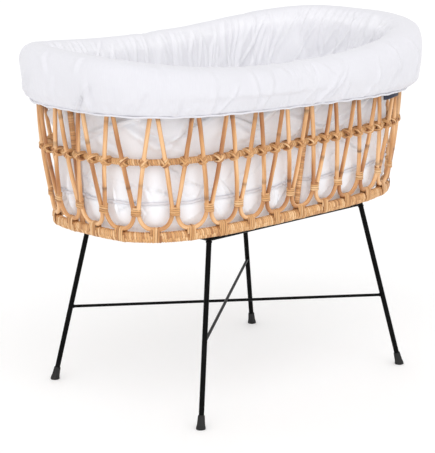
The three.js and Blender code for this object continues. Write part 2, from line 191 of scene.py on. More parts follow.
def grid_faces(rows, columns, close_rows, close_columns, first=0):
    """Quads over a grid of points, row by row."""
    row = np.arange(rows if close_rows else rows - 1)
    column = np.arange(columns if close_columns else columns - 1)
    i, j = np.meshgrid(row, column, indexing="ij")
    i2, j2 = (i + 1) % rows, (j + 1) % columns
    quads = np.stack([i * columns + j, i * columns + j2, i2 * columns + j2, i2 * columns + j], -1)
    return quads.reshape(-1, 4) + first


class Bundle:
    """Collects grids of points, with the strip coordinates that the cane materials read, as one mesh."""

    def __init__(self):
        self.points, self.faces, self.strip, self.marks_and_painted_shade = [], [], [], []
        self.count = 0

    def add(self, grid, strip, marks_and_painted_shade, close_rows=False, caps=True):
        """grid is rows x columns x 3, closed round its columns."""
        rows, columns = grid.shape[:2]
        self.faces += grid_faces(rows, columns, close_rows, True, self.count).tolist()
        if caps and not close_rows:
            first = list(range(self.count, self.count + columns))
            last = [k + (rows - 1) * columns for k in first]
            self.faces += [first[::-1], last]
        self.points.append(grid.reshape(-1, 3))
        self.strip.append(np.broadcast_to(strip, grid.shape).reshape(-1, 3))
        self.marks_and_painted_shade.append(np.broadcast_to(marks_and_painted_shade, grid.shape[:2]).reshape(-1))
        self.count += rows * columns

    def make(self, name, material):
        """The object that holds all that was added."""
        piece = new_object(name, np.concatenate(self.points), self.faces, material)
        strip = piece.data.attributes.new("strip", "FLOAT_VECTOR", "POINT")
        strip.data.foreach_set("vector", np.concatenate(self.strip).astype(np.float32).ravel())
        marks_and_painted_shade = piece.data.attributes.new("marks_and_painted_shade", "FLOAT", "POINT")
        marks_and_painted_shade.data.foreach_set("value", np.concatenate(self.marks_and_painted_shade).astype(np.float32).ravel())
        return piece


def turn_angles(count):
    return np.arange(count) / count * 2 * math.pi


def unit(vectors):
    return vectors / np.maximum(np.linalg.norm(vectors, axis=-1, keepdims=True), 1e-12)


def directions(path, closed=False):
    """The unit direction of a path at each of its points."""
    if closed:
        return unit(np.roll(path, -1, 0) - np.roll(path, 1, 0))
    return unit(np.gradient(path, axis=0))


def lengths_along(path):
    """The length of a path up to each of its points."""
    return np.concatenate([[0], np.cumsum(np.linalg.norm(np.diff(path, axis=0), axis=1))])


def sweep(path, normals, half_thick, half_wide, sides, closed=False, squareness=2.0):
    """A tube along a path. half_thick is its half size along the normals and half_wide across them."""
    forward = directions(path, closed)
    across = unit(np.cross(forward, normals))
    up = unit(np.cross(across, forward))
    thick, wide = rounded(turn_angles(sides), squareness)
    half_thick = np.broadcast_to(half_thick, len(path))[:, None]
    half_wide = np.broadcast_to(half_wide, len(path))[:, None]
    return (
        path[:, None]
        + up[:, None] * (half_thick * thick)[..., None]
        + across[:, None] * (half_wide * wide)[..., None]
    )


def circle_round(axis, sides, helper):
    """Unit vectors all round an axis. helper is any direction away from the axis."""
    across = unit(np.cross(axis, helper))
    up = np.cross(across, axis)
    angle = turn_angles(sides)
    return np.cos(angle)[:, None] * across + np.sin(angle)[:, None] * up


def away_from(axis):
    """A direction that is well away from an axis."""
    return UP if abs(axis[2]) < 0.9 else np.array([1.0, 0.0, 0.0])


def closed_tube(grid):
    """Faces over a tube's grid of points, with a cap on each end, facing out."""
    rows, sides = grid.shape[:2]
    faces = [face[::-1] for face in grid_faces(rows, sides, False, True).tolist()]
    last = (rows - 1) * sides
    return faces + [list(range(sides)), [last + k for k in range(sides)][::-1]]


def declare(piece, body, stands_for=None):
    """Says which body a piece rides on and which CAD node it stands for."""
    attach(piece, body)
    if stands_for:
        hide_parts(stands_for)


def cane_strip(path, radius, sides, start):
    """Coordinates of a straightened cane: round it in x and y, along it in z."""
    angle = turn_angles(sides)
    along = lengths_along(path) + start
    strip = np.empty((len(path), sides, 3))
    strip[..., 0] = np.cos(angle) * radius
    strip[..., 1] = np.sin(angle) * radius
    strip[..., 2] = along[:, None]
    return strip


# ---- Materials ----
def new_material(name):
    """A material, its tree of nodes and its shader."""
    material = bpy.data.materials.new(name)
    material.use_nodes = True
    tree = material.node_tree
    return material, tree, tree.nodes["Principled BSDF"]


def feed(tree, made, inputs):
    """Gives a node its inputs. What another node puts out is linked, and a constant stays on the socket."""
    for key, value in dict(inputs).items():
        if isinstance(value, bpy.types.NodeSocket):
            tree.links.new(value, made.inputs[key])
        else:
            made.inputs[key].default_value = value


def node(tree, kind, inputs=(), **settings):
    """A new node with its settings and its inputs."""
    made = tree.nodes.new(kind)
    for key, value in settings.items():
        setattr(made, key, value)
    feed(tree, made, inputs)
    return made


def ramp(tree, factor, stops):
    """Colours along a factor. Each stop is a position and a colour."""
    made = node(tree, "ShaderNodeValToRGB", {0: factor})
    elements = made.color_ramp.elements
    while len(elements) < len(stops):
        elements.new(0.5)
    for element, (position, colour) in zip(elements, stops):
        element.position = position
        element.color = (*colour, 1)
    return made.outputs["Color"]


def mix(tree, factor, first, second, blend="MIX"):
    """Two colours mixed."""
    made = node(tree, "ShaderNodeMix", data_type="RGBA", blend_type=blend)
    first, second = (c if isinstance(c, bpy.types.NodeSocket) else (*c, 1) for c in (first, second))
    feed(tree, made, {0: factor, 6: first, 7: second})
    return made.outputs[2]


def noise(tree, place, scale, detail, **more):
    """Noise over a place, as a factor from 0 to 1."""
    inputs = {"Vector": place, "Scale": scale, "Detail": detail, **more}
    return node(tree, "ShaderNodeTexNoise", inputs).outputs["Fac"]


def stretched_noise(tree, place, stretch, detail):
    """Noise that is drawn out by a different amount along each axis."""
    at = node(tree, "ShaderNodeMapping", {"Vector": place, "Scale": stretch})
    return noise(tree, at.outputs[0], 1.0, detail)


def bump(tree, height, strength, distance, **more):
    inputs = {"Height": height, "Strength": strength, "Distance": distance, **more}
    return node(tree, "ShaderNodeBump", inputs).outputs[0]


def maths(tree, operation, first, second=0.0, third=0.0):
    return node(tree, "ShaderNodeMath", {0: first, 1: second, 2: third}, operation=operation).outputs[0]


def cane_material(name, pale, deep, tan, marks_and_painted_shade, roughness, coat):
    """Cane: fibres along it, slow changes of tone, and darker where the mesh says: real rings at the nodes,
    and painted shade in the grooves between wrapped turns and along the edges of strips.
    """
    material, tree, shader = new_material(name)
    strip = node(tree, "ShaderNodeAttribute", attribute_name="strip").outputs["Vector"]
    shade = node(tree, "ShaderNodeAttribute", attribute_name="marks_and_painted_shade").outputs["Fac"]
    fibre = stretched_noise(tree, strip, (1500, 1500, 26), 4.0)
    tone = stretched_noise(tree, strip, (60, 60, 7), 2.0)
    base = ramp(tree, tone, [(0.38, pale), (0.5, tan), (0.64, deep)])
    fibre_tone = ramp(tree, fibre, [(0.3, (0.74, 0.66, 0.58)), (0.62, (1.06, 1.04, 1.0))])
    colour = mix(tree, 0.75, base, fibre_tone, "MULTIPLY")
    ragged = maths(tree, "MULTIPLY_ADD", fibre, 0.9, -0.25)
    mark = maths(tree, "MULTIPLY", shade, maths(tree, "ADD", 0.75, ragged))
    # The darkest colour stands for real node rings and for painted shade in grooves and along strip edges.
    feed(tree, shader, {
        "Base Color": mix(tree, node(tree, "ShaderNodeClamp", {0: mark}).outputs[0], colour, marks_and_painted_shade),
        "Roughness": maths(tree, "MULTIPLY_ADD", fibre, 0.25, roughness - 0.12),
        "Normal": bump(tree, fibre, 0.35, 0.6 * MM),
        "Coat Weight": coat,
        "Coat Roughness": 0.35,
    })
    return material


# Painted light: the paler cotton mixed onto the cuff's inner side to lift the shade inside the basket.
PAINTED_LIGHT_COTTON = (0.885, 0.88, 0.91)


def cotton_material(name, colour, shadow, threads=1500.0, sheen=0.35):
    """Plain woven cotton: a fine weave in the cloth's own coordinates, with slight slubs and creases.

    The mesh's `pale` says where painted light makes the cloth lighter: the cuff's inner side, lifted out of
    the basket's shade.
    """
    material, tree, shader = new_material(name)
    cloth = node(tree, "ShaderNodeUVMap", uv_map="cloth").outputs[0]
    place = node(tree, "ShaderNodeTexCoord").outputs["Object"]
    axes = node(tree, "ShaderNodeSeparateXYZ", {0: cloth})
    warp = maths(tree, "SINE", maths(tree, "MULTIPLY", axes.outputs[0], threads * math.pi))
    weft = maths(tree, "SINE", maths(tree, "MULTIPLY", axes.outputs[1], threads * math.pi))
    weave = maths(tree, "MULTIPLY", warp, weft)
    slub = stretched_noise(tree, cloth, (900, 60, 1), 2.0)
    crease = noise(tree, place, 22.0, 5.0, Distortion=0.6)
    base = ramp(tree, noise(tree, place, 6.0, 3.0), [(0.3, shadow), (0.6, colour)])
    pale = node(tree, "ShaderNodeAttribute", attribute_name="pale").outputs["Fac"]
    # Painted light: paler where the mesh's `pale` says, on the cuff's inner side.
    base = mix(tree, pale, base, PAINTED_LIGHT_COTTON)
    threads_tone = ramp(tree, slub, [(0.3, (0.965, 0.965, 0.97)), (0.7, (1, 1, 1))])
    height = maths(tree, "ADD", maths(tree, "MULTIPLY", weave, 0.25), slub)
    fine = bump(tree, height, 0.35, 0.3 * MM)
    feed(tree, shader, {
        "Base Color": mix(tree, 1.0, base, threads_tone, "MULTIPLY"),
        "Normal": bump(tree, crease, 0.3, 4 * MM, Normal=fine),
        "Roughness": maths(tree, "MULTIPLY_ADD", slub, 0.12, 0.82),
        "Sheen Weight": sheen,
        "Sheen Roughness": 0.5,
    })
    return material


def steel_material():
    """Satin black powder coat: fine orange peel, a little dust and faint rubs."""
    material, tree, shader = new_material("black_powder_coat")
    place = node(tree, "ShaderNodeTexCoord").outputs["Object"]
    peel = noise(tree, place, 900.0, 2.0)
    wear = noise(tree, place, 35.0, 6.0, Roughness=0.7)
    feed(tree, shader, {
        "Base Color": ramp(tree, wear, [(0.45, (0.001, 0.001, 0.001)), (0.75, (0.006, 0.006, 0.0065))]),
        "Roughness": maths(tree, "MULTIPLY_ADD", wear, 0.25, 0.26),
        "Normal": bump(tree, peel, 0.25, 0.3 * MM),
        "Specular IOR Level": 0.07,
    })
    return material


def rubber_material():
    """Matt black rubber with a fine grain and a little dust."""
    material, tree, shader = new_material("foot_rubber")
    place = node(tree, "ShaderNodeTexCoord").outputs["Object"]
    grain = noise(tree, place, 1400.0, 2.0)
    dust = noise(tree, place, 60.0, 5.0)
    feed(tree, shader, {
        "Base Color": ramp(tree, dust, [(0.4, (0.004, 0.004, 0.004)), (0.8, (0.018, 0.0175, 0.017))]),
        "Normal": bump(tree, grain, 0.4, 0.3 * MM),
        "Roughness": maths(tree, "MULTIPLY_ADD", dust, 0.2, 0.62),
    })
    return material


def floor_material():
    """A plain studio floor that is lit a little from within, so that it stays white."""
    material, tree, shader = new_material("pale_floor")
    place = node(tree, "ShaderNodeTexCoord").outputs["Object"]
    cloud = noise(tree, place, 1.5, 2.0)
    feed(tree, shader, {
        "Base Color": ramp(tree, cloud, [(0.3, (0.95, 0.95, 0.95)), (0.7, (0.965, 0.965, 0.965))]),
        "Roughness": 0.7,
        "Emission Color": (1, 1, 1, 1),
        "Emission Strength": 0.08,
    })
    return material


# The darkest colour of each cane serves real node rings and painted shade in grooves and along strip edges.
RATTAN = cane_material(
    "rattan_cane",
    pale=(0.88, 0.55, 0.29),
    tan=(0.71, 0.375, 0.155),
    deep=(0.44, 0.185, 0.065),
    marks_and_painted_shade=(0.1, 0.035, 0.012),
    roughness=0.42,
    coat=0.25,
)
SPLIT_CANE = cane_material(
    "split_cane_wrap",
    pale=(0.91, 0.61, 0.34),
    tan=(0.73, 0.4, 0.165),
    deep=(0.4, 0.165, 0.055),
    marks_and_painted_shade=(0.08, 0.026, 0.009),
    roughness=0.5,
    coat=0.12,
)
STEEL = steel_material()
RUBBER = rubber_material()
COTTON = cotton_material("white_cotton", (0.765, 0.76, 0.802), (0.74, 0.736, 0.777))
# Painted light: the lining is the cuff's cotton painted much brighter, to lift the shade inside the basket.
LINING_PAINTED_LIGHT = cotton_material("lining_cotton", (0.915, 0.922, 0.96), (0.885, 0.892, 0.93), threads=1200.0)
LABEL = cotton_material(
    "plain_label", (0.016, 0.018, 0.045), (0.009, 0.011, 0.03), threads=900.0, sheen=0.2
)


# ---- Stand ----
def leg_point(side_x, side_y, height):
    """A place on the centre line of a leg. side_x and side_y are 1 or -1."""
    drop = (RAIL_HEIGHT - height) / RAIL_HEIGHT
    x = RAIL_HALF_LENGTH + (FOOT_HALF_LENGTH - RAIL_HALF_LENGTH) * drop
    y = RAIL_HALF_WIDTH + (FOOT_HALF_WIDTH - RAIL_HALF_WIDTH) * drop
    return np.array([side_x * x, side_y * y, height])


def rod(name, node_name, start, end, radius):
    """A straight rod with round ends, standing for a CAD rod."""
    forward = unit(end - start)
    length = np.linalg.norm(end - start)
    dome = np.linspace(0, math.pi / 2, 7)[:-1]
    middle = np.linspace(radius, length - radius, 12)
    rise = radius * (1 - np.cos(dome))
    along = np.concatenate([rise, middle, (length - rise)[::-1]])
    radii = radius * np.concatenate([np.sin(dome), np.ones(12), np.sin(dome)[::-1]])
    ring = circle_round(forward, 28, away_from(forward))
    grid = np.array([start + forward * a + ring * max(r, POINT) for a, r in zip(along, radii)])
    piece = new_object(name, grid.reshape(-1, 3), closed_tube(grid), STEEL)
    declare(piece, "stand", node_name)


def weld(bundle_points, bundle_faces, centre, axis, radius, thickness, seed):
    """An uneven weld bead round a rod."""
    random = np.random.RandomState(seed)
    steps, sides = 36, 10
    ripples = 11
    ripple = np.sin(turn_angles(steps) * ripples + random.rand() * 6)
    bead = thickness * (1 + 0.12 * ripple + 0.06 * random.randn(steps))
    angle = turn_angles(sides)
    ring = circle_round(axis, steps, away_from(axis))
    grid = (
        centre
        + ring[:, None] * (radius + bead[:, None] * 0.6 * np.cos(angle))[..., None]
        + axis * (bead[:, None] * np.sin(angle))[..., None]
    )
    first = sum(len(p) for p in bundle_points)
    bundle_points.append(grid.reshape(-1, 3))
    bundle_faces.extend(grid_faces(steps, sides, True, True, first).tolist())


def make_stand():
    """Rails, splayed legs, crossed stretchers, weld beads and rubber caps."""
    corners = {
        "front_foot_end": (-1, -1),
        "front_head_end": (1, -1),
        "back_head_end": (1, 1),
        "back_foot_end": (-1, 1),
    }
    tops = [leg_point(x, y, RAIL_HEIGHT) for x, y in corners.values()]
    front_foot, front_head, back_head, back_foot = tops
    reach = np.array([ROD_RADIUS, 0.0, 0.0])
    rails = {
        "front_rail": (front_foot - reach, front_head + reach),
        "back_rail": (back_foot - reach, back_head + reach),
        "foot_end_rail": (front_foot, back_foot),
        "head_end_rail": (front_head, back_head),
    }
    for name, (start, end) in rails.items():
        rod(f"{name}_rod", name, start, end, ROD_RADIUS)
    for name, (x, y) in corners.items():
        upper = leg_point(x, y, RAIL_HEIGHT)
        axis = unit(upper - leg_point(x, y, 0))
        lower = leg_point(x, y, CAP_SOLE)
        rod(f"{name}_leg_rod", f"{name}_leg", lower, upper + axis * ROD_RADIUS, ROD_RADIUS)
    half_step = STRETCHER_RADIUS + GAP / 2
    low, high = STRETCHER_HEIGHT - half_step, STRETCHER_HEIGHT + half_step
    stretchers = {
        "lower_stretcher": (leg_point(-1, 1, low), leg_point(1, -1, low)),
        "upper_stretcher": (leg_point(-1, -1, high), leg_point(1, 1, high)),
    }
    for name, (start, end) in stretchers.items():
        rod(f"{name}_rod", name, start, end, STRETCHER_RADIUS)
    make_welds(corners, low, high)
    for name, (x, y) in corners.items():
        make_cap(name, x, y)


def make_welds(corners, low, high):
    """A bead where each leg meets its rails, and where it meets its stretcher."""
    points, faces = [], []
    for index, (x, y) in enumerate(corners.values()):
        upper = leg_point(x, y, RAIL_HEIGHT)
        axis = unit(upper - leg_point(x, y, 0))
        weld(points, faces, upper - axis * (ROD_RADIUS + 1.2 * MM), axis, ROD_RADIUS, 1.8 * MM, index)
        height = low if x * y < 0 else high
        joint = leg_point(x, y, height)
        inward = unit(leg_point(-x, -y, height) - joint)
        centre = joint + inward * (ROD_RADIUS + 0.6 * MM)
        weld(points, faces, centre, inward, STRETCHER_RADIUS, 1.7 * MM, 10 + index)
    piece = new_object("weld_beads", np.concatenate(points), faces, STEEL)
    declare(piece, "stand")


def make_cap(name, x, y):
    """A flared rubber cap on a leg, cut flat where it stands."""
    foot = leg_point(x, y, 0)
    axis = unit(leg_point(x, y, RAIL_HEIGHT) - foot)
    profile = [  # distance up the leg and radius, in millimetres
        (-2.4, 0.0), (-2.4, 9.0), (-0.5, 9.7), (2.0, 9.8), (4.5, 9.6), (7.0, 8.9), (10.0, 8.35),
        (18.0, 7.7), (25.0, 7.25), (26.8, 7.0), (27.8, 6.5), (28.0, 5.7), (22.0, 5.6),
    ]
    ring = circle_round(axis, 40, UP)
    grid = np.array([foot + axis * rise * MM + ring * max(r * MM, POINT) for rise, r in profile])
    grid[..., 2] = np.maximum(grid[..., 2], 0)
    piece = new_object(f"{name}_rubber_cap", grid.reshape(-1, 3), closed_tube(grid), RUBBER)
    declare(piece, "stand", f"{name}_foot_cap")


# ---- Rattan ----
def waver(along, seed, reach, shortest, longest):
    """A slow smooth wobble along a length."""
    random = np.random.RandomState(seed)
    total = np.zeros_like(along)
    for _ in range(5):
        wavelength = shortest + (longest - shortest) * random.rand()
        total += np.sin(along / wavelength * 2 * math.pi + random.rand() * 7)
    return total * reach / 5


def loop_path(centre):
    """The centre line of a hairpin loop, with the fraction of the way round at each point."""
    top = rim_height(wall(centre, RIM_OUT, 0.0)) - RIM_RADIUS - 2 * MM
    heights = np.linspace(BINDING_HEIGHT, top, 40)[1:]
    climb = np.clip((heights - BINDING_HEIGHT) / (closing_height(centre) - BINDING_HEIGHT), 0, 1)
    spread = 1 - climb
    legs = {}
    for side in (-1, 1):
        fraction = centre + side * spread / (2 * LOOP_COUNT)
        shift = side * CANE_SPACING * (1 - 2 * spread)
        leg = wall(fraction, leg_out(heights), heights) + tangent(fraction) * shift[:, None]
        legs[side] = (fraction, leg)
    turn = np.linspace(-1, 1, 41)
    angle = np.abs(turn) * math.pi / 2
    across = np.sin(angle) ** (2 / LOOP_ROUNDNESS)
    depth = np.maximum(np.cos(angle), 0) ** (2 / LOOP_ROUNDNESS)
    height = BINDING_HEIGHT - (BINDING_HEIGHT - LOOP_FOOT_HEIGHT) * depth
    fraction = centre + np.sign(turn) * across / (2 * LOOP_COUNT)
    shift = -np.sign(turn) * across * CANE_SPACING
    foot = wall(fraction, leg_out(height), height) + tangent(fraction) * shift[:, None]
    path = np.concatenate([legs[-1][1][::-1], foot, legs[1][1]])
    fractions = np.concatenate([legs[-1][0][::-1], fraction, legs[1][0]])
    return path, fractions


def resample(path, values, step):
    """A path with its points a step apart, and values along it read at those points."""
    along = lengths_along(path)
    count = max(int(round(along[-1] / step)), 2)
    wanted = np.linspace(0, along[-1], count + 1)
    new_path = np.stack([np.interp(wanted, along, path[:, k]) for k in range(3)], 1)
    return new_path, np.interp(wanted, along, values)


def cane(bundle, path, normals, radius, seed, sides=12, wobble=0.5 * MM):
    """A cane with knuckles: slight swellings with a dark ring, unevenly spaced."""
    random = np.random.RandomState(seed)
    along = lengths_along(path)
    sideways = unit(np.cross(directions(path), normals))
    path = path + sideways * waver(along, seed + 1, wobble, 0.05, 0.14)[:, None]
    swell = waver(along, seed + 2, 0.05, 0.06, 0.2)
    marks_and_painted_shade = np.zeros_like(along)
    knuckle = random.rand() * 0.12
    while knuckle < along[-1]:
        near = np.exp(-(((along - knuckle) / (2.2 * MM)) ** 2))
        swell += 0.09 * near
        marks_and_painted_shade = np.maximum(marks_and_painted_shade, near * (0.55 + 0.45 * random.rand()))
        marks_and_painted_shade = np.maximum(marks_and_painted_shade, 0.35 * np.exp(-(((along - knuckle - 3 * MM) / (4 * MM)) ** 2)))
        knuckle += 0.11 + 0.14 * random.rand()
    half = radius * (1 + swell)
    strip = cane_strip(path, radius, sides, seed * 3.7)
    bundle.add(sweep(path, normals, half, half, sides), strip, marks_and_painted_shade[:, None])


def make_loops():
    for loop in range(LOOP_COUNT):
        centre = (loop + LOOP_PHASE + 0.5) / LOOP_COUNT
        path, fractions = resample(*loop_path(np.float64(centre)), 5 * MM)
        bundle = Bundle()
        cane(bundle, path, outward(fractions), CANE_RADIUS, 100 + loop)
        name = f"loop_{loop + 1:02d}"
        declare(bundle.make(f"cane_{name}", RATTAN), "basket", name)


def wrap_profile(turns):
    """Rounded ridges of wrapped cane strip: their height from 0 to 1, which turn, and how far across it."""
    number = np.floor(turns)
    across = turns - number
    ridge = 1 - np.abs(2 * across - 1) ** 3
    return ridge, number, across


def wrapped_ring(name, node_name, out, height_at, half_size, squareness, pitch, sides, depth):
    """A ring of a wrapped bundle: every turn of the strip is a ridge. half_size is outwards and upwards."""
    turns = int(round(PERIMETER / pitch))
    samples = 6
    count = turns * samples
    fraction = np.arange(count) / count
    angle = turn_angles(sides)
    lean = 0.35 * np.sin(angle)[None, :]
    ridge, number, across = wrap_profile(np.mod(fraction[:, None] * turns + lean, turns))
    random = np.random.RandomState(turns)
    proud = random.rand(turns + 1)[number.astype(int)]
    shape_out, shape_up = rounded(angle, squareness)
    half_out, half_up = half_size
    inset = depth * (1 - ridge) + depth * 0.5 * proud
    unevenness = waver(fraction * PERIMETER, turns + 3, 0.4 * MM, 0.04, 0.16)[:, None]
    place = wall(fraction[:, None], out + shape_out * (half_out - inset + unevenness), 0.0)
    place[..., 2] = height_at(place) + shape_up * (half_up - inset + unevenness)
    strip = np.zeros(place.shape)
    strip[..., 0] = across * pitch
    strip[..., 2] = angle / (2 * math.pi) * 4 * (half_out + half_up) + number * 0.37
    # Painted shade in the grooves between turns of the strip.
    marks_and_painted_shade = np.clip(1 - ridge * 2.2, 0, 1) * 0.8
    bundle = Bundle()
    bundle.add(place, strip, marks_and_painted_shade, close_rows=True)
    declare(bundle.make(name, SPLIT_CANE), "basket", node_name)


def level(height):
    """A ring's height where it is the same all round."""
    return lambda place: np.full(place.shape[:-1], height)


def make_rings():
    """The base ring, the mid ring and the rim, each wrapped in cane strip."""
    base_height = (RING_LOW[2] + RING_HIGH[2]) / 2
    base_half = (BASE_RING_WIDTH / 2, (RING_HIGH[2] - RING_LOW[2]) / 2)
    wrapped_ring(
        "wrapped_base_ring", "base_ring", 0.0, level(base_height),
        base_half, squareness=2.9, pitch=5.2 * MM, sides=22, depth=0.9 * MM,
    )
    wrapped_ring(
        "wrapped_mid_ring", "mid_ring", MID_OUT, level(MID_HEIGHT),
        (MID_RADIUS, MID_RADIUS), squareness=2.0, pitch=4.4 * MM, sides=14, depth=0.7 * MM,
    )
    wrapped_ring(
        "wrapped_rim", "top_rim", RIM_OUT, rim_height,
        (RIM_RADIUS, RIM_RADIUS), squareness=2.0, pitch=7 * MM, sides=12, depth=0.5 * MM,
    )


def strip_turns(
    bundle, centre, axes, half_first, half_second, turns, pitch, seed,
    half_wide=2.1 * MM, half_thick=0.75 * MM, squareness=2.6,
):
    """Flat cane strip wound round an oval. Its axes are the oval's two, and the one it climbs along."""
    first, second, third = axes
    random = np.random.RandomState(seed)
    sides, steps_a_turn = 8, 26
    turn = np.linspace(0, turns * 2 * math.pi, int(turns * steps_a_turn) + 1)
    across, up = rounded(turn, squareness)
    lift = (turn / (2 * math.pi) - turns / 2) * pitch
    puff = 1 + 0.05 * waver(turn, seed, 1.0, 2.0, 9.0)
    path = (
        centre
        + first * (across * half_first * puff)[:, None]
        + second * (up * half_second * puff)[:, None]
        + third * lift[:, None]
    )
    normals = unit(
        first * (np.cos(turn) / half_first)[:, None] + second * (np.sin(turn) / half_second)[:, None]
    )
    flat_section = 2.6
    grid = sweep(path, normals, half_thick, half_wide, sides, squareness=flat_section)
    angle = turn_angles(sides)
    strip = np.zeros(grid.shape)
    strip[..., 0] = np.sin(angle) * half_wide
    strip[..., 2] = lengths_along(path)[:, None] + random.rand() * 40
    # Painted shade along the strip's edges, where it meets the turn beside it.
    edge = np.clip(np.abs(np.sin(angle)) * 1.6 - 0.9, 0, 1) * 0.45
    bundle.add(grid, strip, np.broadcast_to(edge, grid.shape[:2]))


def tie_neighbours(bundle, edge, seed):
    """Four turns of strip round the legs of two neighbouring loops."""
    centre = wall(edge, leg_out(BINDING_HEIGHT), BINDING_HEIGHT)
    lean = np.random.RandomState(seed).randn() * 0.04
    along = tangent(edge)
    axes = (along, outward(edge), unit(UP + along * lean))
    half_along = CANE_SPACING + CANE_RADIUS + 0.5 * MM
    strip_turns(
        bundle, centre, axes, half_along, CANE_RADIUS + 0.6 * MM,
        turns=4, pitch=4.5 * MM, seed=500 + seed,
    )


def tie_foot(bundle, centre, seed):
    """Four turns of strip round the base ring and the foot of a loop."""
    low, high = RING_LOW[2] + 0.5 * MM, LOOP_FOOT_HEIGHT + CANE_RADIUS
    foot = wall(centre, LOOP_FOOT_OUT * 0.3, (low + high) / 2)
    axes = (outward(centre), UP, tangent(centre))
    strip_turns(
        bundle, foot, axes, BASE_RING_WIDTH / 2 + 0.1 * MM, (high - low) / 2 - 0.1 * MM,
        turns=4, pitch=4.8 * MM, seed=600 + seed,
        half_wide=2.3 * MM, half_thick=0.7 * MM, squareness=2.9,
    )


def tie_crossings(bundle, centre, loop):
    """An X of strip over each of a loop's canes where it passes the mid ring."""
    climb = (MID_HEIGHT - BINDING_HEIGHT) / (closing_height(centre) - BINDING_HEIGHT)
    spread = 1 - climb
    inner, outer = MID_OUT - MID_RADIUS, leg_out(MID_HEIGHT) + CANE_RADIUS
    for side in (-1, 1):
        fraction = np.float64(centre + side * spread / (2 * LOOP_COUNT))
        shift = side * CANE_SPACING * (1 - 2 * spread)
        along, out = tangent(fraction), outward(fraction)
        place = wall(fraction, (inner + outer) / 2, MID_HEIGHT) + along * shift
        for number, slant in enumerate((-1, 1)):
            diagonal = unit(along * slant + UP * 1.15)
            reach = (outer - inner) / 2 + (0.9 + 1.1 * number) * MM
            strip_turns(
                bundle, place, (out, diagonal, np.cross(diagonal, out)), reach, 9.6 * MM,
                turns=2, pitch=4.2 * MM, seed=700 + loop * 4 + side + number,
                half_wide=2.2 * MM, half_thick=1.0 * MM, squareness=2.3,
            )


def make_bindings():
    ties, feet, crosses = Bundle(), Bundle(), Bundle()
    for loop in range(LOOP_COUNT):
        edge = np.float64((loop + LOOP_PHASE) / LOOP_COUNT)
        centre = np.float64((loop + LOOP_PHASE + 0.5) / LOOP_COUNT)
        tie_neighbours(ties, edge, loop)
        tie_foot(feet, centre, loop)
        tie_crossings(crosses, centre, loop)
    for bundle, name in ((ties, "loop_ties"), (feet, "foot_ties"), (crosses, "crossing_ties")):
        declare(bundle.make(name, SPLIT_CANE), "basket")


def post_path(base, rim_fraction):
    """A post stands inside the base ring, the mid ring and the rim."""
    rim = rim_height(wall(rim_fraction, RIM_OUT, 0.0))
    inside = POST_RADIUS + 0.6 * MM
    base_out = -BASE_RING_WIDTH / 2 - inside
    heights = [RING_LOW[2] + 1 * MM, RING_HIGH[2], MID_HEIGHT, rim, rim + 4 * MM]
    outs = [base_out - 1.4 * MM, base_out, MID_OUT - MID_RADIUS - inside, RIM_OUT - RIM_RADIUS - inside]
    outs.append(outs[-1] + 0.4 * MM)
    fine = np.linspace(heights[0], heights[-1], 120)
    fraction = base + (rim_fraction - base) * (fine - RING_HIGH[2]) / (rim - RING_HIGH[2])
    return wall(fraction, np.interp(fine, heights, outs), fine)


def make_posts():
    """Each post is plain cane over part of its height and wrapped over the rest."""
    pitch, sides = 5 * MM, 16
    for quarter, (name, (base, rim, low, high)) in enumerate(POSTS.items()):
        fraction = np.float64(base)
        path = post_path(fraction, np.float64(rim))
        path, heights = resample(path, path[:, 2], 0.9 * MM)
        ridge, number, across = wrap_profile(lengths_along(path) / pitch)
        covered = (heights > low) & (heights < high)
        half = POST_RADIUS * 0.93 + np.where(covered, 0.4 * MM * ridge, 0.0)
        normals = np.broadcast_to(outward(fraction), path.shape)
        strip = cane_strip(path, POST_RADIUS, sides, 80 + quarter)
        strip[covered, :, 0] = (across * pitch)[covered, None]
        strip[covered, :, 1] = 0
        strip[covered, :, 2] = turn_angles(sides) * POST_RADIUS + (number * 0.31)[covered, None]
        # Painted shade in the grooves between turns of the wrap.
        marks_and_painted_shade = np.where(covered, np.clip(1 - ridge * 2, 0, 1) * 0.8, 0.0)
        bundle = Bundle()
        bundle.add(sweep(path, normals, half, half, sides), strip, marks_and_painted_shade[:, None])
        declare(bundle.make(f"cane_{name}", RATTAN), "basket", name)


def make_slats():
    for slat in range(1, 6):
        low, high = (np.array(corner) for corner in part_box(f"base_slat_{slat}"))
        middle = (low + high) / 2
        path = np.linspace([middle[0], low[1], middle[2]], [middle[0], high[1], middle[2]], 90)
        radius = (high[2] - low[2]) / 2 * 0.97
        bundle = Bundle()
        cane(bundle, path, np.broadcast_to(UP, path.shape), radius, 900 + slat, sides=14, wobble=0.6 * MM)
        declare(bundle.make(f"cane_base_slat_{slat}", RATTAN), "basket", f"base_slat_{slat}")


